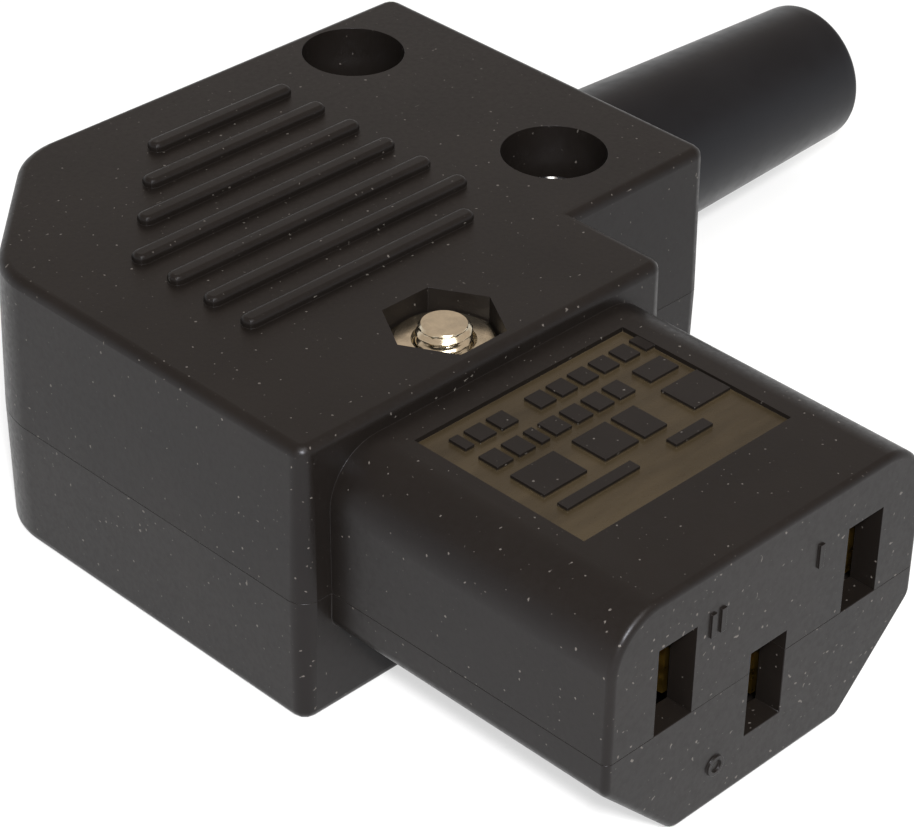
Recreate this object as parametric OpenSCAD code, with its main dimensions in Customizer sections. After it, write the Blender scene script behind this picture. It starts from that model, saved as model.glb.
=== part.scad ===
// Right-angle C13 mains connector that can be rewired: two moulded shells,
// a cord boot, three folded contacts with screw terminals, and its fasteners.
// The nose points to -Y, the cord leaves to +X, and the part lies on z = 0.
// The modules are drawn with x = 0 on the nose's centre line and y = 0 on the
// body's front face, and placed() then moves the origin to the middle of the base.

/* [Body] */
// Height of the closed body
body_h = 17; // [16.5:0.1:20]
// Depth of the body from its front face to its back
body_d = 32.9; // [32:0.1:40]
// Width of the front block behind the nose
front_w = 26.7; // [26:0.1:30]
// How far the cord arm reaches past the front block
arm_x = 11; // [10:0.1:16]
// How far the cord arm is set back from the front face
arm_setback = 6.7; // [4:0.1:8]
// Legs of the cut-off rear corner
corner_cut = 8.8; // [6:0.1:10]
// Rounding at both ends of the cut-off corner
corner_r = 5; // [2:0.5:8]
// Rounding of the other upright edges
edge_r = 1; // [0.8:0.1:1.4]
// Rounding of the rims round the top and the base
rim_r = 0.6; // [0.3:0.1:0.7]
// Lean of the body's sides, away from the parting plane, in degrees
body_draft = 1; // [0:0.25:1.5]
// Wall of the body
wall = 1.8; // [1.5:0.1:2]
// Height of the plane where the shells meet
parting_z = 7.7; // [7.5:0.1:8.5]

/* [Nose] */
// Width of the nose
nose_w = 23.4; // [23:0.1:24]
// Height of the nose
nose_h = 15.4; // [15.2:0.1:16]
// Length of the nose in front of the body
nose_l = 18.8; // [18:0.1:22]
// Height of the nose's underside above the base
nose_z = 0.5; // [0.3:0.1:0.6]
// Legs of the nose's two lower corner cuts
nose_cut = 5.3; // [4:0.1:6]
// Rounding of the nose's two upper corners
nose_r = 3.2; // [2:0.1:4]
// Rounding of the nose's lower corners
nose_low_r = 1; // [0.8:0.1:1.5]
// Step from the body's side to the nose's side
nose_side = 2; // [1.2:0.1:3]
// Rounding of the nose's front rim
nose_rim_r = 0.4; // [0.2:0.1:0.6]
// Taper of the nose's sides towards its front, in degrees
nose_draft = 0.2; // [0:0.1:0.5]
// Wall of the nose
nose_wall = 1.6; // [1.2:0.1:1.8]

/* [Contacts] */
// Distance between the line and neutral pins
pin_spacing = 14; // [13.8:0.1:14.2]
// How far the earth pin sits below the other two
earth_drop = 4; // [3.8:0.1:4.2]
// Thickness of the mating pins
pin_t = 2; // [1.8:0.1:2.2]
// Width of the pin slots
slot_w = 2.7; // [2.4:0.1:3]
// Height of the pin slots
slot_h = 5.2; // [4.8:0.1:5.4]
// Thickness of the contacts' brass sheet
sheet_t = 0.5; // [0.4:0.05:0.6]
// Free space between the front wall and the contacts
contact_gap = 0.3; // [0.2:0.1:0.6]
// Length of the contacts' sleeves
sleeve_l = 11; // [10:0.1:12]
// Width of the line and neutral tails
tail_w = 3; // [2.4:0.1:3.2]
// Width of the earth tail
earth_tail_w = 1.8; // [1.4:0.1:1.8]
// Side of the square terminal pads
pad_w = 4.8; // [4.4:0.1:4.8]
// Thickness of the terminal pads
pad_t = 1.2; // [1:0.1:1.4]
// Distance of the line and neutral terminals behind the front face
terminal_y = 10.9; // [10.5:0.1:11.5]
// Distance of the earth terminal behind the front face
earth_terminal_y = 21; // [19:0.5:24]

/* [Cord outlet] */
// How far the cord's axis lies behind the middle of the cord arm
cord_offset = 0.2; // [-0.3:0.1:0.6]
// Bore of the boot
cord_d = 7; // [6:0.1:7.2]
// Radius of the boot at its free end
boot_end_r = 4.55; // [4.4:0.05:5]
// Radius of the boot where it meets the body
boot_root_r = 5.4; // [5:0.1:6]
// Length of the boot outside the body
boot_l = 25.4; // [18:0.1:35]
// Radius of the boot's neck in the shell wall
neck_r = 4.4; // [4.2:0.05:4.5]
// Radius of the boot's flange inside the shells
flange_r = 5.2; // [5:0.1:5.4]
// Thickness of that flange
flange_t = 1.5; // [1:0.1:1.6]
// Distance between the cord clamp and the cover screws, along the cord
clamp_gap = 7; // [6.8:0.1:7.2]
// Half distance between the clamp's screws
clamp_half = 6.2; // [6.1:0.1:6.4]
// Height of the clamp bar's ears above the parting plane
clamp_rise = 1.8; // [1.4:0.1:2]

/* [Fasteners] */
// Diameter of the closing, cover and terminal screws
screw_d = 3; // [2.8:0.1:3]
// Distance of the closing screw behind the front face
closing_y = 4; // [3.8:0.1:4.4]
// Width across flats of the nut
nut_af = 5.5; // [5:0.1:5.5]
// Height of the nut
nut_h = 2.35; // [1.8:0.05:2.4]
// How far the nut lies below the top face
nut_sink = 1.1; // [0.8:0.1:1.6]
// How far the closing screw's end lies below the top face
tip_sink = 0.15; // [0.1:0.05:0.6]
// Distance of the cover screws from the cord arm's end
cover_side = 7; // [6.8:0.1:7.2]
// Distance of the front cover screw from the cord arm's front
cover_front = 5.7; // [5.5:0.1:5.9]
// Distance of the rear cover screw from the back
cover_rear = 4; // [3.9:0.1:4.3]
// Diameter of the recesses over the cover screws
recess_d = 6.1; // [5.9:0.1:6.2]
// How far the cover screws' heads lie below the top face
head_sink = 2.4; // [1.5:0.1:2.6]
// Length of the cover screws' shanks
cover_shank = 10; // [9:0.1:10.2]

/* [Surface] */
// Number of grip ribs on the top
rib_count = 7; // [3:1:7]
// Pitch of the grip ribs
rib_pitch = 2.88; // [2.4:0.02:3]
// Width of each grip rib
rib_w = 1.05; // [0.8:0.05:1.4]
// Height of the grip ribs
rib_h = 0.5; // [0.3:0.1:0.8]
// Distance of the front rib's near edge behind the front face
rib_y = 10.05; // [9.5:0.05:11]
// How much further right each rear rib starts beside the cut-off corner
rib_step = 2.8; // [2.4:0.1:3]
// Distance from the body's left side to the ribs
rib_left = 5.75; // [5:0.25:7]
// Distance from the ribs to the front block's right side
rib_right = 2.15; // [1.5:0.05:3]
// How much shorter the front rib is, to clear the nut pocket's corner
rib_short = 2.35; // [1.5:0.05:3]
// Length of the panel recess on the nose, across the nose
panel_w = 15.2; // [12:0.1:16]
// Depth of the panel recess along the nose
panel_l = 11.5; // [9:0.1:13]
// Distance of the panel recess in front of the body
panel_gap = 1.6; // [1:0.1:2.5]
// Depth of the panel recess
panel_sink = 0.3; // [0.2:0.05:0.4]
// Height of the raised marks on the nose's front face
mark_h = 0.12; // [0.1:0.02:0.2]

/* [Hidden] */
$fn = 64;
eps = 0.01;
// Clearance between pieces that seat on each other
fit = 0.05;
// Free play around shanks and heads
play = 0.1;

x_left = -nose_w / 2 - nose_side;
x_front = x_left + front_w;
x_arm = x_front + arm_x;
cavity_top = body_h - wall;
cord_y = (arm_setback + body_d) / 2 + cord_offset;
cover_x = x_arm - cover_side;
cover_y1 = arm_setback + cover_front;
cover_y2 = body_d - cover_rear;
clamp_x = cover_x - clamp_gap;
slot_z = parting_z + slot_h / 2;
earth_z = slot_z - earth_drop;
nose_top = nose_z + nose_h;
sleeve_y = -nose_l + nose_wall + contact_gap;
sleeve_end = sleeve_y + sleeve_l;
sleeve_half = pin_t / 2 + sheet_t;
sleeve_h = slot_h - 2 * fit - play;

screw_r = screw_d / 2;
hole_r = screw_r + play;
thread_r = screw_r - fit;
head_r = 2.65;
head_h = 2;
recess_r = recess_d / 2;
pocket_af = nut_af + 3 * play;
closing_boss_r = pocket_af / 2 / cos(30) + 1.35;
washer_t = 0.5;
closing_head_z = 0.65;
closing_recess_r = head_r + 0.5;
closing_foot_r = closing_recess_r + 1.2;
cover_boss_r = recess_r + 1.1;
cover_foot_r = screw_r + 2;
line_pad_x = -pin_spacing / 2 - 2.2;
neutral_pad_x = pin_spacing / 2 - 2.2;
earth_tail_x = -(closing_foot_r + 0.3 + earth_tail_w / 2);
earth_pad_x = earth_tail_x + 1.5;
terminal_len = 4;
plate_t = 1;
small_screw_r = 1.1;
small_head_r = 2.1;
small_head_h = 1.6;
post_r = 2.4;
post_top = parting_z + clamp_rise;
bar_t = 1.8;
bar_w = 3.6;
cradle_t = 1.2;
cradle_y = [sleeve_end - 4.5, sleeve_end - 1.5];

middle_x = (x_left + x_arm + boot_l) / 2;
middle_y = (body_d - nose_l - mark_h) / 2;

outline = [[x_left, 0], [x_front, 0], [x_front, arm_setback], [x_arm, arm_setback],
           [x_arm, body_d], [x_left + corner_cut, body_d], [x_left, body_d - corner_cut]];
outline_r = [edge_r, edge_r, 0, edge_r, edge_r, corner_r, corner_r];
nose_half = nose_w / 2;
profile = [[-nose_half + nose_cut, nose_z], [nose_half - nose_cut, nose_z],
           [nose_half, nose_z + nose_cut], [nose_half, nose_top],
           [-nose_half, nose_top], [-nose_half, nose_z + nose_cut]];
profile_r = [nose_low_r, nose_low_r, nose_low_r, nose_r, nose_r, nose_low_r];

// Unit vector from a to b
function unit(a, b) = (b - a) / norm(b - a);
// The point of an outline that lies k steps after point i
function at(p, i, k) = p[(i + k + len(p)) % len(p)];
// Inward normal of the edge that starts at point i of an outline that runs anticlockwise
function inward(p, i) = let (u = unit(p[i], at(p, i, 1))) [-u[1], u[0]];
// The outline moved inwards by w, corner by corner
function inset(p, w) = [for (i = [0:len(p) - 1])
    let (a = inward(p, (i + len(p) - 1) % len(p)), b = inward(p, i))
    p[i] + w * (a + b) / (1 + a * b)];

// Half of the angle between the two edges at corner i
function half_turn(p, i) = acos(unit(p[i], at(p, i, -1)) * unit(p[i], at(p, i, 1))) / 2;
// Centre of the arc that rounds corner i
function corner_centre(p, r, i) =
    let (m = unit(p[i], at(p, i, -1)) + unit(p[i], at(p, i, 1)))
    p[i] + m / norm(m) * r[i] / sin(half_turn(p, i));

// Points of an outline moved inwards by w, with chords in each rounded corner.
// A corner that the move uses up stays sharp.
function ring(p, r, w) = let (q = inset(p, w)) [for (i = [0:len(p) - 1])
    each r[i] <= w || r[i] == 0 ? [q[i]] :
    let (c = corner_centre(p, r, i), a = -inward(p, (i + len(p) - 1) % len(p)),
         start = atan2(a[1], a[0]), sweep = 180 - 2 * half_turn(p, i), n = ceil(3 * r[i]))
    [for (k = [0:n]) let (t = start + sweep * k / n) c + (r[i] - w) * [cos(t), sin(t)]]];

// Block of height h over an outline, with an upright foot below it. Its sides lean
// in by the draft angle, and a quarter round of radius f, or less where a corner is
// tighter, ends them.
module soft_block(p, r, h, f, draft, foot) {
    steps = 5;
    least_r = 0.15;
    lean = h * tan(draft);
    rim = min(f, min([for (v = r) v == 0 ? f + lean + least_r : v]) - lean - least_r);
    levels = [[-foot, 0], [0, 0], for (k = [0:steps]) let (t = 90 * k / steps)
        [h - rim + rim * sin(t), lean + rim * (1 - cos(t))]];
    rings = [for (l = levels) [for (q = ring(p, r, l[1])) [q[0], q[1], l[0]]]];
    n = len(rings[0]);
    last = len(levels) - 1;
    polyhedron(points = [for (g = rings) each g], faces = concat(
        [[for (i = [0:n - 1]) i]],
        [for (l = [0:last - 1], i = [0:n - 1]) let (j = (i + 1) % n)
            [l * n + i, (l + 1) * n + i, (l + 1) * n + j, l * n + j]],
        [[for (i = [n - 1:-1:0]) last * n + i]]));
}

// Part of the body between two heights, inset by w
module body_block(z0, z1, w = 0) {
    translate([0, 0, z0]) linear_extrude(z1 - z0) polygon(ring(outline, outline_r, w));
}

// Part of the nose between two distances, inset by w
module nose_block(y0, y1, w = 0) {
    translate([0, y1, 0]) rotate([90, 0, 0]) linear_extrude(y1 - y0)
        polygon(ring(profile, profile_r, w));
}

// The space above or below the parting plane
module half_space(upper) {
    side = 200;
    translate([-side / 2, -side / 2, upper ? parting_z : parting_z - side]) cube(side);
}

// Outside of one shell: its half of the body, and the nose rooted in the front wall
module outside(upper) {
    intersection() {
        union() {
            translate([0, 0, parting_z]) mirror([0, 0, upper ? 0 : 1])
                soft_block(outline, outline_r, upper ? body_h - parting_z : parting_z,
                           rim_r, body_draft, wall);
            rotate([90, 0, 0])
                soft_block(profile, profile_r, nose_l, nose_rim_r, nose_draft, wall / 2);
        }
        half_space(upper);
    }
}

// Upright cylinder between two heights
module post(x, y, z0, z1, r) {
    translate([x, y, z0]) cylinder(h = z1 - z0, r = r);
}

// Block centred on x and y between two heights
module block(x, y, z0, z1, dx, dy) {
    translate([x - dx / 2, y - dy / 2, z0]) cube([dx, dy, z1 - z0]);
}

// One pin slot through the nose's front wall
module pin_slot(x, z) {
    translate([x - slot_w / 2, -nose_l - eps, z - slot_h / 2])
        cube([slot_w, nose_wall + 2 * eps, slot_h]);
}

module pin_slots() {
    pin_slot(-pin_spacing / 2, slot_z);
    pin_slot(pin_spacing / 2, slot_z);
    pin_slot(0, earth_z);
}

// Space that a contact's sleeve takes up in the cradles
module sleeve_space(x, z) {
    translate([x - sleeve_half - fit, -nose_l, z - slot_h / 2])
        cube([2 * (sleeve_half + fit), nose_l, slot_h]);
}

// Cross walls in the nose that hold the contacts' sleeves
module cradles() {
    difference() {
        for (y = cradle_y) nose_block(y - cradle_t / 2, y + cradle_t / 2, nose_wall - eps);
        sleeve_space(-pin_spacing / 2, slot_z);
        sleeve_space(pin_spacing / 2, slot_z);
        sleeve_space(0, earth_z);
    }
}

// Opening for the boot's neck in the end wall
module cord_opening() {
    translate([x_arm - wall - eps, cord_y, parting_z]) rotate([0, 90, 0])
        cylinder(h = wall + 2 * eps, r = neck_r + fit);
}

// Raised grip ribs: the rear ones start where the cut-off corner leaves room
module grip_ribs() {
    full_length = 4;
    end_r = rib_w * 0.43;
    for (i = [0:rib_count - 1]) {
        x0 = x_left + rib_left + max(0, i - full_length + 1) * rib_step;
        x1 = x_front - rib_right - (i == 0 ? rib_short : 0);
        y0 = rib_y + i * rib_pitch;
        translate([0, 0, body_h]) soft_block(
            [[x0, y0], [x1, y0], [x1, y0 + rib_w], [x0, y0 + rib_w]],
            [end_r, end_r, end_r, end_r], rib_h, rib_h * 0.6, 0, wall / 2);
    }
}

// Shallow panel on the nose, with rows of plain raised blocks left standing in it.
// Each row is its depth and the widths of its blocks, with a negative width for a gap.
module panel() {
    rows = [[0.105, [0.04, 0.075, 0.075, -0.05, 0.075, 0.075, 0.075, 0.075, 0.075, 0.075]],
            [0.115, [0.075, 0.075, 0.04, 0.075, 0.075, 0.075, 0.075, -0.02, 0.14]],
            [0.2, [0.2, -0.03, 0.16, 0.11, -0.08, 0.18]],
            [0.06, [0.34, -0.12, 0.18]]];
    margin = 0.09;
    gap = 0.028;
    row_gap = 0.075;
    block_h = panel_sink * 0.8;
    difference() {
        translate([-panel_w / 2, -panel_gap - panel_l, nose_top - panel_sink])
            cube([panel_w, panel_l, panel_sink + eps]);
        for (i = [0:len(rows) - 1], j = [0:len(rows[i][1]) - 1]) if (rows[i][1][j] > 0)
            translate([panel_w * (margin + j * gap + total(rows[i][1], j) - 0.5),
                       -panel_gap - panel_l * (margin + i * row_gap + depths(rows, i + 1)),
                       nose_top - panel_sink - eps])
                cube([panel_w * rows[i][1][j], panel_l * rows[i][0], block_h + eps]);
    }
}

// Sum of the sizes of the first n values of a list
function total(v, n) = n == 0 ? 0 : abs(v[n - 1]) + total(v, n - 1);
// Sum of the depths of the first n rows
function depths(rows, n) = total([for (r = rows) r[0]], n);

// Plain raised marks on the front: two dashes by the left slot and one by the right
module upper_marks() {
    dash_w = 0.35;
    dash_l = 1.4;
    pair_x = slot_w / 2 - pin_spacing / 2 + dash_w * 2.7;
    single_x = pin_spacing / 2 - slot_w / 2 - dash_w * 6.7;
    for (x = [pair_x, pair_x + 2 * dash_w, single_x])
        translate([x, -nose_l - mark_h, slot_z + dash_l])
            cube([dash_w, mark_h + nose_wall / 2, dash_l]);
}

// Ring below the earth slot, on its left
module lower_mark() {
    ring_r = 0.6;
    translate([-slot_w * 1.3, -nose_l + nose_wall / 2, earth_z - slot_h / 2 - ring_r])
        rotate([90, 0, 0]) difference() {
            cylinder(h = mark_h + nose_wall / 2, r = ring_r);
            translate([0, 0, nose_wall / 2]) cylinder(h = nose_wall, r = ring_r * 0.6);
        }
}

// Hex pocket for the nut and the hole for the closing screw
module closing_cuts() {
    translate([0, closing_y, body_h - nut_sink - nut_h - fit])
        cylinder(h = body_h, r = pocket_af / 2 / cos(30), $fn = 6);
    post(0, closing_y, -eps, body_h, hole_r);
    post(0, closing_y, -eps, closing_head_z + head_h + washer_t + 2 * fit, closing_recess_r);
}

module cover_bosses(r) {
    for (y = [cover_y1, cover_y2]) post(cover_x, y, 0, body_h, r);
}

module upper_shell() {
    color("#262220") difference() {
        union() {
            difference() {
                outside(true);
                body_block(parting_z - eps, cavity_top, wall);
                nose_block(-nose_l + nose_wall, wall + eps, nose_wall);
            }
            intersection() {
                union() {
                    cover_bosses(cover_boss_r);
                    post(0, closing_y, 0, body_h, closing_boss_r);
                }
                body_block(parting_z, body_h - wall / 2, wall / 2);
            }
            intersection() {
                cradles();
                half_space(true);
            }
            grip_ribs();
            upper_marks();
        }
        closing_cuts();
        for (y = [cover_y1, cover_y2]) {
            post(cover_x, y, 0, body_h, hole_r);
            post(cover_x, y, body_h - head_sink - head_h - fit, body_h + eps, recess_r);
        }
        pin_slots();
        cord_opening();
        panel();
    }
}

module lower_shell() {
    color("#262220") difference() {
        union() {
            difference() {
                outside(false);
                body_block(wall, parting_z + eps, wall);
                nose_block(-nose_l + nose_wall, wall + eps, nose_wall);
            }
            intersection() {
                cover_bosses(cover_foot_r);
                body_block(wall / 2, parting_z, wall / 2);
            }
            post(0, closing_y, wall / 2, parting_z, closing_foot_r);
            intersection() {
                cradles();
                half_space(false);
            }
            block(line_pad_x, terminal_y, wall / 2, parting_z, pad_w, pad_w);
            block(neutral_pad_x, terminal_y, wall / 2, parting_z, pad_w, pad_w);
            block(earth_pad_x, earth_terminal_y, wall / 2, earth_z - slot_h / 2, pad_w, pad_w);
            for (s = [-1, 1]) post(clamp_x, cord_y + s * clamp_half, wall / 2, post_top, post_r);
            difference() {
                block(clamp_x, cord_y, wall / 2, parting_z - 1, wall, 2 * clamp_half);
                translate([clamp_x - bar_w, cord_y, parting_z]) rotate([0, 90, 0])
                    cylinder(h = 2 * bar_w, d = cord_d);
            }
            lower_mark();
        }
        closing_cuts();
        for (y = [cover_y1, cover_y2])
            post(cover_x, y, body_h - head_sink - head_h - cover_shank - 2 * play, body_h, screw_r);
        for (x = [line_pad_x, neutral_pad_x]) post(x, terminal_y, wall + 2, body_h, hole_r);
        post(earth_pad_x, earth_terminal_y, wall, body_h, hole_r);
        for (s = [-1, 1])
            post(clamp_x, cord_y + s * clamp_half, wall + play, body_h, small_screw_r + fit);
        pin_slots();
        cord_opening();
    }
}

// Tapered sleeve round the cord, with a neck and a flange that the shells trap
module cord_boot() {
    lip = (boot_end_r - cord_d / 2) / 2;
    x0 = -wall - fit - flange_t;
    color("#1e1c1d") translate([x_arm, cord_y, parting_z]) rotate([0, 90, 0]) rotate_extrude() {
        polygon([[cord_d / 2, x0], [flange_r, x0], [flange_r, x0 + flange_t],
                 [neck_r, x0 + flange_t], [neck_r, fit], [boot_root_r, fit],
                 [boot_end_r, boot_l - lip], [cord_d / 2, boot_l - lip]]);
        translate([boot_end_r - lip, boot_l - lip]) circle(lip);
    }
}

// Two spring leaves that grip one pin, joined by a web at their rear
module sleeve(x, z) {
    half = pin_t / 2;
    nip = 0.1;
    flare = 0.35;
    leaf = [[half + flare, 0], [half - nip, 2.4], [half, 4.4], [half, sleeve_l],
            [half + sheet_t, sleeve_l], [half + sheet_t, 4.4], [half - nip + sheet_t, 2.4],
            [half + flare + sheet_t, 0]];
    z0 = z - slot_h / 2 + fit;
    translate([x, sleeve_y, z0]) {
        for (s = [0, 1]) mirror([s, 0, 0]) linear_extrude(sleeve_h) polygon(leaf);
        translate([-sleeve_half, 4.4, 0]) cube([2 * sleeve_half, sleeve_l - 4.4, sheet_t]);
    }
}

// Square terminal pad with its tapped hole
module pad(x, y, z0) {
    difference() {
        block(x, y, z0, z0 + pad_t, pad_w, pad_w);
        post(x, y, z0 - eps, z0 + pad_t + eps, screw_r);
    }
}

// Line or neutral contact: the tail runs straight back to its pad
module side_contact(x, pad_x) {
    z0 = parting_z + fit;
    color("#b9953f") union() {
        sleeve(x, slot_z);
        translate([x - tail_w / 2, sleeve_end - eps, z0])
            cube([tail_w, terminal_y - pad_w / 2 - sleeve_end + 2 * eps, sheet_t]);
        pad(pad_x, terminal_y, z0);
    }
}

module line_contact() { side_contact(-pin_spacing / 2, line_pad_x); }
module neutral_contact() { side_contact(pin_spacing / 2, neutral_pad_x); }

// Earth contact: the tail steps sideways past the closing screw's boss
module earth_contact() {
    z0 = earth_z - slot_h / 2 + fit;
    step_y = sleeve_end + 2;
    x0 = earth_tail_x - earth_tail_w / 2;
    color("#b9953f") union() {
        sleeve(0, earth_z);
        translate([-tail_w / 2, sleeve_end - eps, z0]) cube([tail_w, 2 + 2 * eps, sheet_t]);
        translate([x0, step_y, z0]) cube([tail_w / 2 - x0, earth_tail_w, sheet_t]);
        translate([x0, step_y, z0])
            cube([earth_tail_w, earth_terminal_y - pad_w / 2 - step_y + eps, sheet_t]);
        pad(earth_pad_x, earth_terminal_y, z0);
    }
}

// Cross recess of a screw head, cut downwards from z = 0
module cross_recess(r, depth) {
    blade = r * 0.24;
    for (a = [0, 90]) rotate(a) translate([-r * 0.58, -blade / 2, -depth])
        cube([r * 1.16, blade, depth + eps]);
}

// Pan-head screw whose head seats on z = 0 and whose shank runs down
module pan_screw(shank_r, shank_l, r, h) {
    crown = 0.35;
    difference() {
        union() {
            cylinder(h = h - crown, r = r);
            translate([0, 0, h - crown]) cylinder(h = crown, r1 = r, r2 = r - crown * 1.6, $fn = 48);
            translate([0, 0, -shank_l]) cylinder(h = shank_l + eps, r = shank_r);
        }
        translate([0, 0, h]) cross_recess(r, h * 0.6);
    }
}

// Terminal screw that seats on the wire clamp over a pad
module terminal_screw(x, y, z0) {
    color("#c9c6bd") translate([x, y, z0 + pad_t + plate_t + 2 * fit])
        pan_screw(thread_r, terminal_len, head_r * 0.9, 1.8);
}

module line_terminal_screw() { terminal_screw(line_pad_x, terminal_y, parting_z + fit); }
module neutral_terminal_screw() { terminal_screw(neutral_pad_x, terminal_y, parting_z + fit); }
module earth_terminal_screw() {
    terminal_screw(earth_pad_x, earth_terminal_y, earth_z - slot_h / 2 + fit);
}

// Square plate that presses a wire onto a pad
module wire_clamp(x, y, z0) {
    z1 = z0 + pad_t + fit;
    color("#c9c6bd") difference() {
        block(x, y, z1, z1 + plate_t, pad_w - 2 * play, pad_w - 2 * play);
        post(x, y, z1 - eps, z1 + plate_t + eps, hole_r);
    }
}

module line_wire_clamp() { wire_clamp(line_pad_x, terminal_y, parting_z + fit); }
module neutral_wire_clamp() { wire_clamp(neutral_pad_x, terminal_y, parting_z + fit); }
module earth_wire_clamp() { wire_clamp(earth_pad_x, earth_terminal_y, earth_z - slot_h / 2 + fit); }

// Arched bar that holds the cord's sheath down on the lower shell's saddle
module cord_clamp_bar() {
    length = 2 * (clamp_half + post_r);
    z0 = post_top + fit;
    color("#2f2b29") difference() {
        union() {
            block(clamp_x, cord_y, z0, z0 + bar_t, bar_w, length);
            intersection() {
                translate([clamp_x - bar_w / 2, cord_y, parting_z]) rotate([0, 90, 0])
                    cylinder(h = bar_w, d = cord_d + 2 * bar_t);
                block(clamp_x, cord_y, z0, body_h, bar_w, length);
            }
        }
        translate([clamp_x - bar_w, cord_y, parting_z]) rotate([0, 90, 0])
            cylinder(h = 2 * bar_w, d = cord_d);
        for (s = [-1, 1])
            post(clamp_x, cord_y + s * clamp_half, z0 - eps, body_h, small_screw_r + play);
    }
}

module cord_clamp_screw(y) {
    z0 = post_top + bar_t + 2 * fit;
    color("#c9c6bd") translate([clamp_x, y, z0])
        pan_screw(small_screw_r, z0 - wall - 3 * play, small_head_r, small_head_h);
}

module front_cord_clamp_screw() { cord_clamp_screw(cord_y - clamp_half); }
module rear_cord_clamp_screw() { cord_clamp_screw(cord_y + clamp_half); }

// Machine screw from the underside, through both shells into the nut
module closing_screw() {
    seat = closing_head_z + head_h;
    color("#d8d4c8") translate([0, closing_y, seat]) mirror([0, 0, 1])
        pan_screw(screw_r, body_h - tip_sink - seat, head_r, head_h);
}

module closing_washer() {
    z0 = closing_head_z + head_h + fit;
    color("#d8d4c8") difference() {
        post(0, closing_y, z0, z0 + washer_t, head_r + 0.3);
        post(0, closing_y, z0 - eps, z0 + washer_t + eps, hole_r);
    }
}

// Hex nut with its upper corners turned off
module closing_nut() {
    corner_r = nut_af / 2 / cos(30);
    color("#d8d4c8") translate([0, closing_y, body_h - nut_sink - nut_h]) difference() {
        intersection() {
            cylinder(h = nut_h, r = corner_r, $fn = 6);
            translate([0, 0, nut_h]) mirror([0, 0, 1])
                cylinder(h = nut_h, r1 = nut_af / 2 * 0.95, r2 = nut_af / 2 * 0.95 + 1.8 * nut_h);
        }
        translate([0, 0, -eps]) cylinder(h = nut_h + 2 * eps, r = screw_r + fit);
    }
}

module cover_screw(y) {
    color("#b8b4aa") translate([cover_x, y, body_h - head_sink - head_h])
        pan_screw(thread_r, cover_shank, head_r, head_h);
}

module front_cover_screw() { cover_screw(cover_y1); }
module rear_cover_screw() { cover_screw(cover_y2); }

// Puts the origin on the base, under the middle of the part
module placed() {
    translate([-middle_x, -middle_y, 0]) children();
}

placed() upper_shell();
placed() lower_shell();
placed() cord_boot();
placed() line_contact();
placed() neutral_contact();
placed() earth_contact();
placed() line_terminal_screw();
placed() neutral_terminal_screw();
placed() earth_terminal_screw();
placed() line_wire_clamp();
placed() neutral_wire_clamp();
placed() earth_wire_clamp();
placed() cord_clamp_bar();
placed() front_cord_clamp_screw();
placed() rear_cord_clamp_screw();
placed() closing_screw();
placed() closing_washer();
placed() closing_nut();
placed() front_cover_screw();
placed() rear_cover_screw();
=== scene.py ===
"""Right-angle C13 connector: moulded shells, cord boot, nut and screws, on a pale stage."""
import math

import bmesh
import bpy
import numpy as np
from bpy.props import FloatProperty, FloatVectorProperty, PointerProperty
from mathutils import Matrix, Vector


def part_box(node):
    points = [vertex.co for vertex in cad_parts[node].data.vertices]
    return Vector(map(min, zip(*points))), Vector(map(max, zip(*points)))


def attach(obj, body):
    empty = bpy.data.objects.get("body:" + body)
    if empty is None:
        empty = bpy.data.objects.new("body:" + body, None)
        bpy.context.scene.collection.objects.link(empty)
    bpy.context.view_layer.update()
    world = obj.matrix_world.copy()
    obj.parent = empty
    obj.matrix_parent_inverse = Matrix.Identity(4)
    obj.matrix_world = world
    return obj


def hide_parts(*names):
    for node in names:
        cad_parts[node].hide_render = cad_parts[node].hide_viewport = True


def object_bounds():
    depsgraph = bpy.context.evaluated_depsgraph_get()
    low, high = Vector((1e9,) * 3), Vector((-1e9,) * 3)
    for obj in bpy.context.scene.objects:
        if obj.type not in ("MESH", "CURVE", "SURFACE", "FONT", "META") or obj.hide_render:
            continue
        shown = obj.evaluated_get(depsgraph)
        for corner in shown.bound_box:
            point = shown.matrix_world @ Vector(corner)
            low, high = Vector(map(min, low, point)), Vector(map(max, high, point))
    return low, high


bl_info = {
    "name": "Right-Angle C13 Connector",
    "version": (1, 0, 0),
    "blender": (4, 5, 0),
    "location": "View3D > Sidebar > Connector",
    "description": "Dresses a right-angle C13 connector in moulded plastic and plated metal",
    "category": "Object",
}

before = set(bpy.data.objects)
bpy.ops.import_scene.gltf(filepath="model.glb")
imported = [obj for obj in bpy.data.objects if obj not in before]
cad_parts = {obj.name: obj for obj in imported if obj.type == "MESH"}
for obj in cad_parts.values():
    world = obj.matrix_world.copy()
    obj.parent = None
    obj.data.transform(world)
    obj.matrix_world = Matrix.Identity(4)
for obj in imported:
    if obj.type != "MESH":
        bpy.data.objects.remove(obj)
CAD_BOX = [list(corner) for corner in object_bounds()]
MM = 0.001
TAU = 2 * math.pi

# The panel sunk into the nose's top: its width and length, how far it starts behind the nose's
# front, and its depth. The nose's top lies a step below the body's, which the ribs stand on.
PANEL_W = 15.2 * MM
PANEL_L = 11.5 * MM
PANEL_Y = 5.82 * MM
PANEL_SINK = 0.3 * MM
RIB_H = 0.5 * MM
NOSE_STEP = 1.1 * MM

# Gloss of the black plastics, the tint of what they reflect (a painted bluish reflection), and the
# relief of every skin.
SKIN_GLOSS = 0.2
PAINTED_BLUE_REFLECTION_TINT = (0.9, 0.92, 1.0)
RELIEF = 0.02 * MM

# How much of the floor's own white is added where it is seen.
FLOOR_GLOW = 0.62

# Point that the camera and the lamps face, in millimetres, and the camera's sideways shift.
AIM = (-15.04, -7.19, 10.22)
SHIFT = (-0.087, 0.03)


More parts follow.
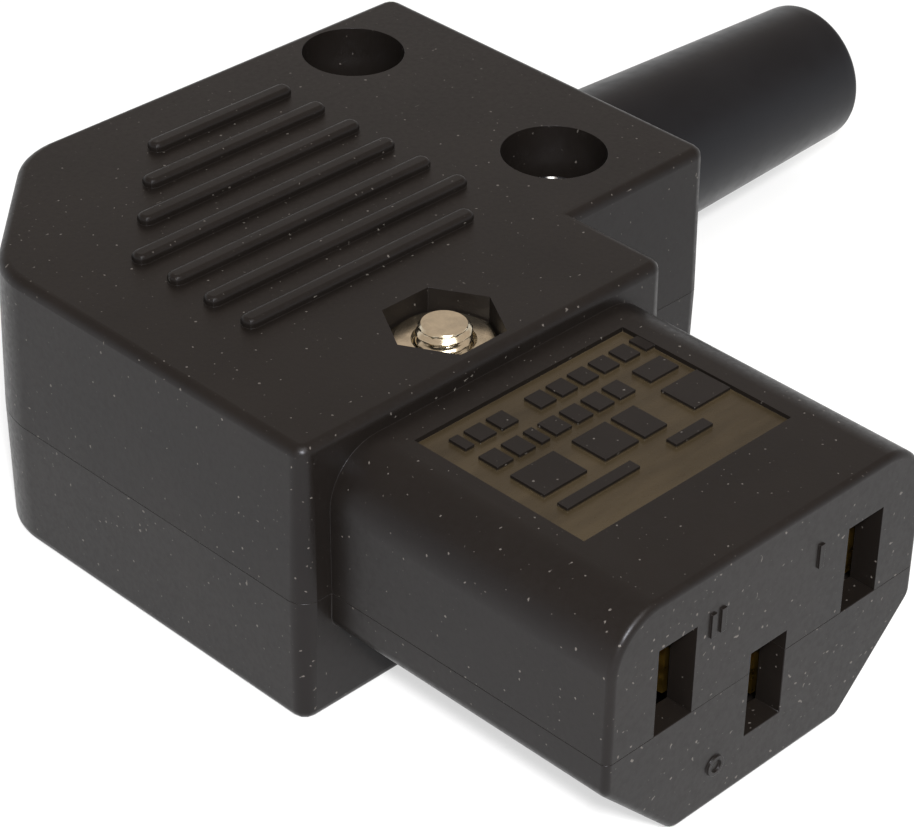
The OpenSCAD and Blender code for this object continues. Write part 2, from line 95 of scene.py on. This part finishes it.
def linear(hex_colour):
    """An sRGB hex colour as linear red, green and blue."""
    values = [int(hex_colour[i:i + 2], 16) / 255 for i in (0, 2, 4)]
    return tuple(v / 12.92 if v <= 0.04045 else ((v + 0.055) / 1.055) ** 2.4 for v in values)


# ---------------------------------------------------------------- settings


def length(name, description, default, low=0.0):
    """A length in metres that the sidebar shows."""
    return FloatProperty(name=name, description=description, default=default, min=low,
                         subtype="DISTANCE", unit="LENGTH", precision=5)


def colour(name, description, hex_colour):
    """A colour that the sidebar shows."""
    return FloatVectorProperty(name=name, description=description, subtype="COLOR", size=3,
                               min=0.0, max=1.0, default=linear(hex_colour))


class ShellSettings(bpy.types.PropertyGroup):
    edge: length("Edge", "Width of the rounding on the shells' crisp edges", 0.12 * MM)
    grain: length("Grain", "Size of one pit of the moulded grain", 0.16 * MM)
    plastic: colour("Plastic", "Body of the black ABS", "120f0d")
    # The panel floor's colour is painted sheen: lighter and browner than the plastic, for the
    # gloss of its polished floor.
    panel: colour("Panel floor", "Polished floor of the panel on the nose", "2c251a")
    boot: colour("Boot", "Soft PVC of the cord boot", "0f0f11")


class FastenerSettings(bpy.types.PropertyGroup):
    pitch: length("Pitch", "Thread pitch of the closing screw", 0.5 * MM)
    thread: length("Thread depth", "Depth of the closing screw's thread", 0.27 * MM)
    coarse_pitch: length("Coarse pitch", "Thread pitch of the screws that tap plastic", 1.0 * MM)
    coarse_thread: length("Coarse depth", "Thread depth of the screws that tap plastic", 0.3 * MM)
    nickel: colour("Nickel", "Plating of the nut and the closing screw", "e6dcc4")
    zinc: colour("Zinc", "Plating of the other screws", "c6c8cc")
    brass: colour("Brass", "Folded sheet of the contacts", "c9a24e")


class StageSettings(bpy.types.PropertyGroup):
    azimuth: FloatProperty(name="Azimuth", description="Turn of the camera round the connector",
                           default=math.radians(-47.3), subtype="ANGLE")
    elevation: FloatProperty(name="Elevation", description="Height of the camera as an angle",
                             default=math.radians(34.5), subtype="ANGLE")
    roll: FloatProperty(name="Roll", description="Turn of the camera about its own axis",
                        default=math.radians(2.2), subtype="ANGLE")
    distance: length("Distance", "From the camera to the point it is aimed at", 163.5 * MM)
    lens: FloatProperty(name="Lens", description="Focal length in millimetres on a 36 mm sensor",
                        default=122.4)
    floor: colour("Floor", "Pale floor", "ffffff")


# ---------------------------------------------------------------- meshes


def new_piece(name, mesh, material, node):
    """Links a mesh as a piece that rides on the body and stands for one CAD node."""
    piece = bpy.data.objects.new(name, mesh)
    bpy.context.scene.collection.objects.link(piece)
    mesh.materials.clear()
    mesh.materials.append(material)
    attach(piece, "root")
    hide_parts(node)
    return piece


def surface(name, points, wrap_rows=False, sharp=35.0):
    """A closed surface from a grid of points, rows by columns.

    Columns always run round and meet. Rows meet too if wrap_rows is set, as on a ring;
    if not, the first and last rows shrink to one point each, which closes the ends.
    """
    rows, columns = points.shape[:2]
    index = np.arange(rows * columns).reshape(rows, columns)
    upper = np.roll(index, -1, axis=0) if wrap_rows else index[1:]
    lower = index if wrap_rows else index[:-1]
    quads = np.stack([lower, np.roll(lower, -1, axis=1), np.roll(upper, -1, axis=1), upper],
                     axis=-1)
    mesh = bpy.data.meshes.new(name)
    mesh.from_pydata(points.reshape(-1, 3), [], quads.reshape(-1, 4).tolist())
    work = bmesh.new()
    work.from_mesh(mesh)
    bmesh.ops.remove_doubles(work, verts=work.verts, dist=1e-7)
    bmesh.ops.recalc_face_normals(work, faces=work.faces)
    work.to_mesh(mesh)
    work.free()
    smooth(mesh, sharp)
    return mesh


def smooth(mesh, sharp):
    """Shades a mesh smooth, apart from the edges that turn by more than sharp degrees."""
    mesh.polygons.foreach_set("use_smooth", np.ones(len(mesh.polygons), dtype=bool))
    mesh.set_sharp_from_angle(angle=math.radians(sharp))


def weigh_normals(piece):
    """Lets the large faces set the shading, so that they stay flat beside small roundings."""
    modifier = piece.modifiers.new("Flat faces", "WEIGHTED_NORMAL")
    modifier.keep_sharp = True


def along(points, steps):
    """A polyline through points with steps[i] equal parts in stretch i."""
    parts = [np.linspace(a, b, n, endpoint=False)
             for a, b, n in zip(points[:-1], points[1:], steps)]
    return np.vstack(parts + [np.array([points[-1]])])


def arc(centre, radius, start, end, steps):
    """Points of a circular arc in a profile plane, in degrees from start to end."""
    t = np.radians(np.linspace(start, end, steps + 1))
    return np.column_stack([centre[0] + radius * np.cos(t), centre[1] + radius * np.sin(t)])


# ---------------------------------------------------------------- materials


def add(tree, kind, sockets=None, **settings):
    """Adds a node with its settings; a socket takes a value, or is linked from an output."""
    node = tree.nodes.new(kind)
    for name, value in settings.items():
        setattr(node, name, value)
    for name, value in (sockets or {}).items():
        if isinstance(value, bpy.types.NodeSocket):
            tree.links.new(value, node.inputs[name])
        else:
            node.inputs[name].default_value = value
    return node


def blank(name):
    """A material with an empty tree, its output and its object coordinates."""
    material = bpy.data.materials.new(name)
    material.use_nodes = True
    tree = material.node_tree
    tree.nodes.clear()
    out = add(tree, "ShaderNodeOutputMaterial")
    place = add(tree, "ShaderNodeTexCoord").outputs["Object"]
    return material, tree, out, place


def grain(tree, place, size, detail=2.0):
    """Noise whose spots are about size metres across."""
    return add(tree, "ShaderNodeTexNoise", {"Vector": place, "Scale": 0.5 / size, "Detail": detail,
                                            "Roughness": 0.6}).outputs["Fac"]


def between(tree, value, low, high, to_low=0.0, to_high=1.0):
    """Maps a value from one range to another, clamped."""
    return add(tree, "ShaderNodeMapRange", {"Value": value, "From Min": low, "From Max": high,
                                            "To Min": to_low, "To Max": to_high}).outputs["Result"]


def maths(tree, operation, a, b=0.0):
    """One Math node's result."""
    node = add(tree, "ShaderNodeMath", operation=operation)
    for socket, value in zip(node.inputs, (a, b)):
        if isinstance(value, bpy.types.NodeSocket):
            tree.links.new(value, socket)
        else:
            socket.default_value = value
    return node.outputs["Value"]


def mixed(tree, factor, a, b):
    """A blend of two colours."""
    node = add(tree, "ShaderNodeMix", data_type="RGBA")
    for socket, value in zip((node.inputs[0], node.inputs[6], node.inputs[7]), (factor, a, b)):
        if isinstance(value, bpy.types.NodeSocket):
            tree.links.new(value, socket)
        else:
            socket.default_value = value
    return node.outputs[2]


def opaque(rgb):
    """A colour with full alpha."""
    return (*rgb, 1.0)


def inside_box(tree, place, low, high):
    """1 inside a box of the object's own space, and 0 outside it."""
    axes = add(tree, "ShaderNodeSeparateXYZ", {"Vector": place}).outputs
    inside = 1.0
    for axis, a, b in zip(axes, low, high):
        inside = maths(tree, "MULTIPLY", maths(tree, "GREATER_THAN", axis, a), inside)
        inside = maths(tree, "MULTIPLY", maths(tree, "LESS_THAN", axis, b), inside)
    return inside


def moulded_abs(settings):
    """ABS, injection moulded: a satin black skin with a fine spark-eroded grain, a few pale
    dust specks, and a polished floor in the panel on the nose, with a painted sheen: brownish,
    lighter in streaks."""
    material, tree, out, place = blank("moulded_black_abs")
    pits = grain(tree, place, settings.grain)
    cloud = grain(tree, place, 4 * MM, 3.0)
    # Real dust is half as coarse, which would be too fine to show.
    specks = between(tree, grain(tree, place, 0.12 * MM, 0.0), 0.8, 0.85)
    low, high = panel_floor()
    floor = inside_box(tree, place, low, high)
    # Painted sheen on the polished panel floor: streaks painted lighter than the floor's colour.
    streak = add(tree, "ShaderNodeMapping", {"Vector": place, "Scale": (0.2, 1.0, 1.0)})
    polish = between(tree, grain(tree, streak.outputs["Vector"], 1.2 * MM, 4.0), 0.35, 0.65)
    body = mixed(tree, between(tree, cloud, 0.3, 0.7), opaque(settings.plastic),
                 opaque([1.35 * v for v in settings.plastic]))
    body = mixed(tree, specks, body, opaque(linear("514d49")))
    panel_sheen = mixed(tree, polish, opaque(settings.panel), opaque([1.6 * v for v in settings.panel]))
    skin = add(tree, "ShaderNodeBsdfPrincipled", {
        "Base Color": mixed(tree, floor, body, panel_sheen),
        "Roughness": maths(tree, "SUBTRACT", between(tree, pits, 0.3, 0.7, 0.3, 0.42),
                           maths(tree, "MULTIPLY", floor, 0.06)),
        "Specular IOR Level": SKIN_GLOSS,
        # Painted bluish reflection: every reflection of the skin is tinted blue.
        "Specular Tint": opaque(PAINTED_BLUE_REFLECTION_TINT),
        "Normal": add(tree, "ShaderNodeBump", {
            "Height": maths(tree, "ADD", pits, maths(tree, "MULTIPLY", specks, 2.0)),
            "Strength": 0.16, "Distance": RELIEF}).outputs["Normal"],
    })
    tree.links.new(skin.outputs["BSDF"], out.inputs["Surface"])
    return material


def panel_floor():
    """Box round the panel's floor: below the blocks' tops, and above the nose's inside."""
    low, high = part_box("upper_shell")
    middle = nose_middle()
    nose_top = high.z - RIB_H - NOSE_STEP
    clear = 0.05 * MM
    return ((middle - PANEL_W / 2, low.y + PANEL_Y, nose_top - PANEL_SINK - clear),
            (middle + PANEL_W / 2, low.y + PANEL_Y + PANEL_L, nose_top - PANEL_SINK * 0.7))


def nose_middle():
    """Middle of the nose, across it, which the closing screw marks."""
    low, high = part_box("closing_screw")
    return (low.x + high.x) / 2


def soft_pvc(settings):
    """Plasticised PVC, injection moulded: a smooth dark skin with a soft, even sheen."""
    material, tree, out, place = blank("soft_black_pvc")
    cloud = grain(tree, place, 3 * MM, 3.0)
    skin = add(tree, "ShaderNodeBsdfPrincipled", {
        "Base Color": mixed(tree, between(tree, cloud, 0.3, 0.7), opaque(settings.boot),
                            opaque([1.4 * v for v in settings.boot])),
        "Roughness": between(tree, grain(tree, place, 0.5 * MM), 0.3, 0.7, 0.3, 0.38),
        "Specular IOR Level": SKIN_GLOSS,
        # Painted bluish reflection: every reflection of the skin is tinted blue.
        "Specular Tint": opaque(PAINTED_BLUE_REFLECTION_TINT),
        "Normal": add(tree, "ShaderNodeBump", {
            "Height": grain(tree, place, 0.3 * MM),
            "Strength": 0.1, "Distance": RELIEF}).outputs["Normal"],
    })
    tree.links.new(skin.outputs["BSDF"], out.inputs["Surface"])
    return material


def plated_steel(name, rgb, roughness):
    """Steel with a plated skin: bright metal whose polish varies in small patches."""
    material, tree, out, place = blank(name)
    patch = grain(tree, place, 0.4 * MM, 3.0)
    skin = add(tree, "ShaderNodeBsdfPrincipled", {
        "Base Color": mixed(tree, between(tree, patch, 0.35, 0.65), opaque(rgb),
                            opaque([0.8 * v for v in rgb])),
        "Metallic": 1.0,
        "Roughness": between(tree, patch, 0.3, 0.7, roughness * 0.8, roughness * 1.4),
        "Normal": add(tree, "ShaderNodeBump", {
            "Height": grain(tree, place, 0.12 * MM),
            "Strength": 0.12, "Distance": RELIEF}).outputs["Normal"],
    })
    tree.links.new(skin.outputs["BSDF"], out.inputs["Surface"])
    return material


def clamp_nylon():
    """Nylon, injection moulded: dark grey and slightly waxy."""
    material, tree, out, place = blank("clamp_grey_nylon")
    skin = add(tree, "ShaderNodeBsdfPrincipled", {
        "Base Color": mixed(tree, grain(tree, place, 2 * MM), opaque(linear("2b2927")),
                            opaque(linear("37342f"))),
        "Roughness": between(tree, grain(tree, place, 0.3 * MM), 0.3, 0.7, 0.4, 0.55),
    })
    tree.links.new(skin.outputs["BSDF"], out.inputs["Surface"])
    return material


# ---------------------------------------------------------------- shapes


def moulding(node):
    """A copy of a shell's mesh, joined into one skin and shaded by the angle of its edges."""
    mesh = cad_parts[node].data.copy()
    work = bmesh.new()
    work.from_mesh(mesh)
    bmesh.ops.remove_doubles(work, verts=work.verts, dist=1e-6)
    bmesh.ops.dissolve_limit(work, angle_limit=math.radians(0.4), verts=work.verts,
                             edges=work.edges)
    work.to_mesh(mesh)
    work.free()
    smooth(mesh, 30.0)
    return mesh


def boot_profile(low, high):
    """(x, radius) points of the boot: a straight bore, then a flange, a neck that the housing
    holds, a root with a rounded corner, a straight taper, and a half-round lip."""
    bore, flange, neck, root, end, lip = (v * MM for v in (3.5, 5.2, 4.4, 5.4, 4.55, 0.525))
    flange_t, wall, fit = 1.5 * MM, 1.8 * MM, 0.05 * MM
    x0, x1 = low.x, high.x
    corner = 0.15 * MM
    body = x0 + flange_t + fit + wall + fit
    outside = along([(body, root), (x1 - lip, end)], [40])[:-1]
    return np.vstack([
        along([(x1 - lip, bore), (x0, bore), (x0, flange), (x0 + flange_t, flange),
               (x0 + flange_t, neck), (body, neck), (body, root - corner)],
              [40, 3, 3, 2, 3, 2]),
        arc((body + corner, root - corner), corner, 180, 95, 4), outside[1:],
        arc((x1 - lip, end - lip), lip, 88, -90, 12)])


def screw_surface(shank_r, shank_l, head_r, head_h, pitch, depth):
    """Pan-head screw standing on its tip, from the tip's middle round to the head's middle.

    Shank: radius = crest - depth x |saw tooth of (height / pitch - turn)|, and no more than a
    cone allows at the tip. Head: an upright rim under a flat arch, less a cross recess on the
    diagonals, whose depth falls from its middle to its ends.
    """
    columns, rows_per_pitch = 96, 12
    turn = np.arange(columns) / columns
    rows = max(8, int(rows_per_pitch * shank_l / pitch))
    tip_r = shank_r - depth
    face = np.column_stack([np.linspace(0, tip_r, 5)[:-1], np.zeros(4)])
    z = np.linspace(0, shank_l, rows)
    shank = np.column_stack([np.full(rows, shank_r), z])
    rim = 0.3 * head_h
    edge = 0.1 * rim
    arch_h = 2.2 * rim
    under = np.column_stack([np.linspace(shank_r, head_r - edge, 4)[1:], np.full(3, shank_l)])
    side = along([(head_r, shank_l + edge), (head_r, shank_l + head_h - arch_h)], [3])
    top_r = head_r * (1 - np.linspace(0, 1, 60)[1:])
    crown = np.column_stack([top_r, shank_l + head_h - arch_h
                             + arch_h * np.sqrt(1 - (top_r / head_r) ** 3)])
    profile = np.vstack([face, shank, under, side, crown])
    radius = np.repeat(profile[:, :1], columns, axis=1)
    height = np.repeat(profile[:, 1:], columns, axis=1)
    on_shank = slice(len(face), len(face) + rows)
    saw = np.abs(((z[:, None] / pitch - turn[None]) % 1.0) * 2 - 1)
    groove = depth * np.clip(1.25 * saw - 0.12, 0, 1)
    radius[on_shank] = np.minimum(shank_r - groove, tip_r + z[:, None] * 0.9)
    x, y = radius * np.cos(TAU * turn), radius * np.sin(TAU * turn)
    on_crown = slice(len(profile) - len(crown), None)
    diagonal = (x[on_crown] + y[on_crown]) / math.sqrt(2)
    other = (x[on_crown] - y[on_crown]) / math.sqrt(2)
    reach, blade, recess = 0.68 * head_r, 0.15 * head_r, 0.8 * head_h
    across = np.minimum(np.abs(diagonal), np.abs(other))
    inside = np.clip((blade - across) / (0.25 * blade), 0, 1)
    fall = np.clip((reach - np.hypot(diagonal, other)) / (0.75 * reach), 0, 1)
    height[on_crown] -= recess * inside * fall
    return np.stack([x, y, height], axis=-1)


def nut_surface(across, bore_r, height, columns=120):
    """Hex nut as a ring: bore, top, chamfer, six flats and base. The outer radius is
    half the width across flats / cos(angle from the nearest flat), and the top falls by
    30 degrees outside the turned circle."""
    angle = np.arange(columns) * TAU / columns
    hexagon = across / 2 / np.cos((angle % (TAU / 6)) - TAU / 12)
    turned = across / 2 * 0.95
    chamfer = 0.18 * MM
    fall = math.tan(math.radians(30))

    def row(radius, z):
        z = np.broadcast_to(z, angle.shape)
        return np.stack([radius * np.cos(angle), radius * np.sin(angle), z], -1)

    outer = [turned + t * (hexagon - turned) for t in np.linspace(0.2, 1, 5)]
    rows = [row(np.full(columns, bore_r), z) for z in np.linspace(chamfer, height - chamfer, 5)]
    rows += [row(np.full(columns, bore_r + t * chamfer), height - chamfer + t * chamfer)
             for t in (0.5, 1)]
    rows += [row(np.full(columns, r), height)
             for r in np.linspace(bore_r + chamfer, turned, 5)[1:]]
    rows += [row(r, height - (r - turned) * fall) for r in outer]
    rows += [row(hexagon, (height - (hexagon - turned) * fall) * (1 - t)) for t in (0.33, 0.66, 1)]
    rows += [row(hexagon + t * (bore_r + chamfer - hexagon), 0.0) for t in (0.33, 0.66, 1)]
    return np.array(rows)


# ---------------------------------------------------------------- operators


class Maker:
    """What every operator that adds to the connector shares."""
    bl_options = {"REGISTER", "UNDO"}


class CONNECTOR_OT_shells(Maker, bpy.types.Operator):
    """Dress both moulded shells in black ABS, with softened edges"""
    bl_idname = "connector.shells"
    bl_label = "Moulded Shells"

    def execute(self, context):
        settings = context.scene.connector_shell
        plastic = moulded_abs(settings)
        for node in ("upper_shell", "lower_shell"):
            piece = new_piece(node + "_moulding", moulding(node), plastic, node)
            bevel = piece.modifiers.new("Softened edges", "BEVEL")
            bevel.width = settings.edge
            bevel.segments = 2
            bevel.limit_method = "ANGLE"
            bevel.angle_limit = math.radians(40)
            bevel.use_clamp_overlap = True
            weigh_normals(piece)
        return {"FINISHED"}


class CONNECTOR_OT_boot(Maker, bpy.types.Operator):
    """Turn the tapered cord boot in soft PVC"""
    bl_idname = "connector.boot"
    bl_label = "Cord Boot"

    def execute(self, context):
        low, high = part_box("cord_boot")
        centre = (low + high) / 2
        profile = boot_profile(low, high)
        angle = np.arange(160) * TAU / 160
        radius = profile[:, 1:]
        points = np.stack([np.repeat(profile[:, :1], len(angle), axis=1),
                           centre.y + radius * np.cos(angle),
                           centre.z + radius * np.sin(angle)], -1)
        mesh = surface("cord_boot_sleeve", points, wrap_rows=True)
        piece = new_piece("cord_boot_sleeve", mesh, soft_pvc(context.scene.connector_shell),
                          "cord_boot")
        weigh_normals(piece)
        return {"FINISHED"}


class CONNECTOR_OT_screws(Maker, bpy.types.Operator):
    """Turn every screw with its thread and its cross recess"""
    bl_idname = "connector.screws"
    bl_label = "Screws"

    def execute(self, context):
        s = context.scene.connector_fastener
        nickel = plated_steel("bright_nickel_screw", s.nickel, 0.16)
        zinc = plated_steel("zinc_screw", s.zinc, 0.24)
        m3, slack, small = 1.5 * MM, 0.05 * MM, 1.1 * MM
        high_head, middle_head, low_head = 2 * MM, 1.8 * MM, 1.6 * MM
        fine, coarse = (s.pitch, s.thread), (s.coarse_pitch, s.coarse_thread)
        zinc_finish = (zinc, "screw_steel", False)
        plan = [("closing_screw", m3, high_head, fine, nickel, "plated_steel", True)]
        plan += [(n + "_cover_screw", m3 - slack, high_head, coarse, *zinc_finish)
                 for n in ("front", "rear")]
        plan += [(n + "_terminal_screw", m3 - slack, middle_head, fine, *zinc_finish)
                 for n in ("line", "neutral", "earth")]
        plan += [(n + "_cord_clamp_screw", small, low_head, coarse, *zinc_finish)
                 for n in ("front", "rear")]
        for node, shank_r, head_h, (pitch, depth), metal, slot, upside_down in plan:
            low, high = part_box(node)
            centre = (low + high) / 2
            head_r = (high.x - low.x) / 2
            shank_l = high.z - low.z - head_h
            points = screw_surface(shank_r, shank_l, head_r, head_h, pitch, depth)
            if upside_down:
                points = points * np.array([1.0, -1.0, -1.0])
            tip = high.z if upside_down else low.z
            points = points + np.array([centre.x, centre.y, tip])
            mesh = surface(node + "_turned", points, sharp=40.0)
            new_piece(node + "_turned", mesh, metal, node)
        return {"FINISHED"}


class CONNECTOR_OT_nut(Maker, bpy.types.Operator):
    """Make the closing nut, and plate it and its washer"""
    bl_idname = "connector.nut"
    bl_label = "Nut and Washer"

    def execute(self, context):
        s = context.scene.connector_fastener
        nickel = plated_steel("bright_nickel_nut", s.nickel, 0.2)
        low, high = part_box("closing_nut")
        centre = (low + high) / 2
        bore_r = 1.55 * MM
        points = nut_surface(high.y - low.y, bore_r, high.z - low.z)
        points = points + np.array([centre.x, centre.y, low.z])
        mesh = surface("closing_nut_hex", points, wrap_rows=True, sharp=25.0)
        piece = new_piece("closing_nut_hex", mesh, nickel, "closing_nut")
        weigh_normals(piece)
        dress(["closing_washer"], nickel)
        return {"FINISHED"}


def dress(nodes, material):
    """Gives carried-over nodes a material of this file."""
    for node in nodes:
        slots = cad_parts[node].material_slots
        for slot in slots:
            slot.material = material


class CONNECTOR_OT_contacts(Maker, bpy.types.Operator):
    """Finish the brass contacts, the wire clamps and the cord clamp"""
    bl_idname = "connector.contacts"
    bl_label = "Contacts and Clamps"

    def execute(self, context):
        s = context.scene.connector_fastener
        dress(["line_contact", "neutral_contact", "earth_contact"],
              plated_steel("folded_brass", s.brass, 0.3))
        dress(["line_wire_clamp", "neutral_wire_clamp", "earth_wire_clamp"],
              plated_steel("zinc_plate", s.zinc, 0.3))
        dress(["cord_clamp_bar"], clamp_nylon())
        return {"FINISHED"}


def seen(tree):
    """1 for rays from the camera and for those that reflect or pass through to it."""
    path = add(tree, "ShaderNodeLightPath").outputs
    either = maths(tree, "MAXIMUM", path["Is Camera Ray"], path["Is Glossy Ray"])
    return maths(tree, "MAXIMUM", either, path["Is Transmission Ray"])


def painted_floor(rgb):
    """Matt paint: pale, and lifted to the background's white where it is seen."""
    material, tree, out, _ = blank("matt_floor_paint")
    paint = add(tree, "ShaderNodeBsdfDiffuse", {"Color": opaque(rgb)}).outputs["BSDF"]
    glow = add(tree, "ShaderNodeEmission", {"Color": opaque(rgb)}).outputs["Emission"]
    share = maths(tree, "MULTIPLY", seen(tree), FLOOR_GLOW)
    both = add(tree, "ShaderNodeMixShader", {"Fac": share})
    tree.links.new(paint, both.inputs[1])
    tree.links.new(glow, both.inputs[2])
    tree.links.new(both.outputs["Shader"], out.inputs["Surface"])
    return material


def studio_world():
    """Pale surroundings: white walls under a warm grey ceiling, and softer as light."""
    world = bpy.data.worlds.new("studio")
    world.use_nodes = True
    tree = world.node_tree
    tree.nodes.clear()
    out = add(tree, "ShaderNodeOutputWorld")
    to_camera = seen(tree)
    direction = add(tree, "ShaderNodeTexCoord").outputs["Generated"]
    height = add(tree, "ShaderNodeSeparateXYZ", {"Vector": direction}).outputs["Z"]
    ceiling = maths(tree, "MULTIPLY", to_camera, between(tree, height, 0.12, 0.5))
    light = add(tree, "ShaderNodeBackground", {
        "Color": mixed(tree, ceiling, (1.0, 1.0, 1.0, 1.0), (0.52, 0.44, 0.38, 1.0)),
        "Strength": between(tree, to_camera, 0.0, 1.0, 0.45, 1.0)})
    tree.links.new(light.outputs["Background"], out.inputs["Surface"])
    bpy.context.scene.world = world


def outward(azimuth, elevation):
    """Unit vector out to an azimuth, counted from the front, and an elevation."""
    return Vector((math.sin(azimuth) * math.cos(elevation),
                   -math.cos(azimuth) * math.cos(elevation), math.sin(elevation)))


def soft_box(name, direction, distance, size, watts, rgb, aim):
    """A square lamp at an azimuth and elevation round the aim, facing it."""
    away = outward(*(math.radians(v) for v in direction))
    data = bpy.data.lights.new(name, "AREA")
    data.size, data.energy, data.color = size, watts, rgb
    lamp = bpy.data.objects.new(name, data)
    lamp.location = aim + away * distance
    lamp.rotation_euler = (-away).to_track_quat("-Z", "Y").to_euler()
    bpy.context.scene.collection.objects.link(lamp)


class CONNECTOR_OT_stage(Maker, bpy.types.Operator):
    """Set the floor, the lamps, the surroundings and the camera"""
    bl_idname = "connector.stage"
    bl_label = "Stage"

    def execute(self, context):
        settings = context.scene.connector_stage
        low, high = (Vector(corner) for corner in CAD_BOX)
        reach = 1.5
        mesh = bpy.data.meshes.new("floor")
        mesh.from_pydata([(x * reach, y * reach, low.z - 0.02 * MM) for x, y in
                          ((-1, -1), (1, -1), (1, 1), (-1, 1))], [], [(0, 1, 2, 3)])
        mesh.materials.append(painted_floor(settings.floor))
        floor = bpy.data.objects.new("floor", mesh)
        context.scene.collection.objects.link(floor)
        studio_world()
        aim = Vector(AIM) * MM
        soft_box("key_lamp", direction=(-20, 62), distance=0.5, size=0.3, watts=1.2,
                 rgb=(1.0, 0.96, 0.9), aim=aim)
        soft_box("flash_lamp", direction=(-44, 40), distance=0.22, size=0.02, watts=0.7,
                 rgb=(1.0, 1.0, 1.0), aim=aim)
        self.place_camera(context, settings, aim)
        context.scene.view_settings.view_transform = "Standard"
        return {"FINISHED"}

    def place_camera(self, context, settings, aim):
        """Aims the camera from its azimuth, elevation and distance, then rolls it."""
        back = outward(settings.azimuth, settings.elevation)
        data = bpy.data.cameras.new("camera")
        data.sensor_width = 36.0
        data.lens = settings.lens
        data.shift_x, data.shift_y = SHIFT
        data.clip_start, data.clip_end = 0.01, 10.0
        camera = bpy.data.objects.new("camera", data)
        turn = (-back).to_track_quat("-Z", "Y").to_matrix()
        turn = turn @ Matrix.Rotation(settings.roll, 3, "Z")
        camera.matrix_world = Matrix.Translation(aim + back * settings.distance) @ turn.to_4x4()
        context.scene.collection.objects.link(camera)
        context.scene.camera = camera


class CONNECTOR_PT_sidebar(bpy.types.Panel):
    """Sizes and colours of the connector, and its pieces"""
    bl_idname = "CONNECTOR_PT_sidebar"
    bl_label = "Connector"
    bl_space_type = "VIEW_3D"
    bl_region_type = "UI"
    bl_category = "Connector"

    def draw(self, context):
        for title, group in GROUPS.items():
            box = self.layout.box()
            box.label(text=title)
            settings = getattr(context.scene, group[0])
            for name in group[1].__annotations__:
                box.prop(settings, name)
        for operator in OPERATORS:
            self.layout.operator(operator.bl_idname)


GROUPS = {
    "Shells and boot": ("connector_shell", ShellSettings),
    "Fasteners": ("connector_fastener", FastenerSettings),
    "Stage": ("connector_stage", StageSettings),
}
OPERATORS = (CONNECTOR_OT_stage, CONNECTOR_OT_shells, CONNECTOR_OT_boot, CONNECTOR_OT_screws,
             CONNECTOR_OT_nut, CONNECTOR_OT_contacts)


def register():
    for name, group in GROUPS.values():
        bpy.utils.register_class(group)
        setattr(bpy.types.Scene, name, PointerProperty(type=group))
    for cls in (*OPERATORS, CONNECTOR_PT_sidebar):
        bpy.utils.register_class(cls)


def unregister():
    for cls in reversed((*OPERATORS, CONNECTOR_PT_sidebar)):
        bpy.utils.unregister_class(cls)
    for name, group in GROUPS.values():
        delattr(bpy.types.Scene, name)
        bpy.utils.unregister_class(group)


def main():
    register()
    bpy.ops.connector.stage()
    bpy.ops.connector.shells()
    bpy.ops.connector.boot()
    bpy.ops.connector.screws()
    bpy.ops.connector.nut()
    bpy.ops.connector.contacts()


if __name__ == "__main__":
    main()
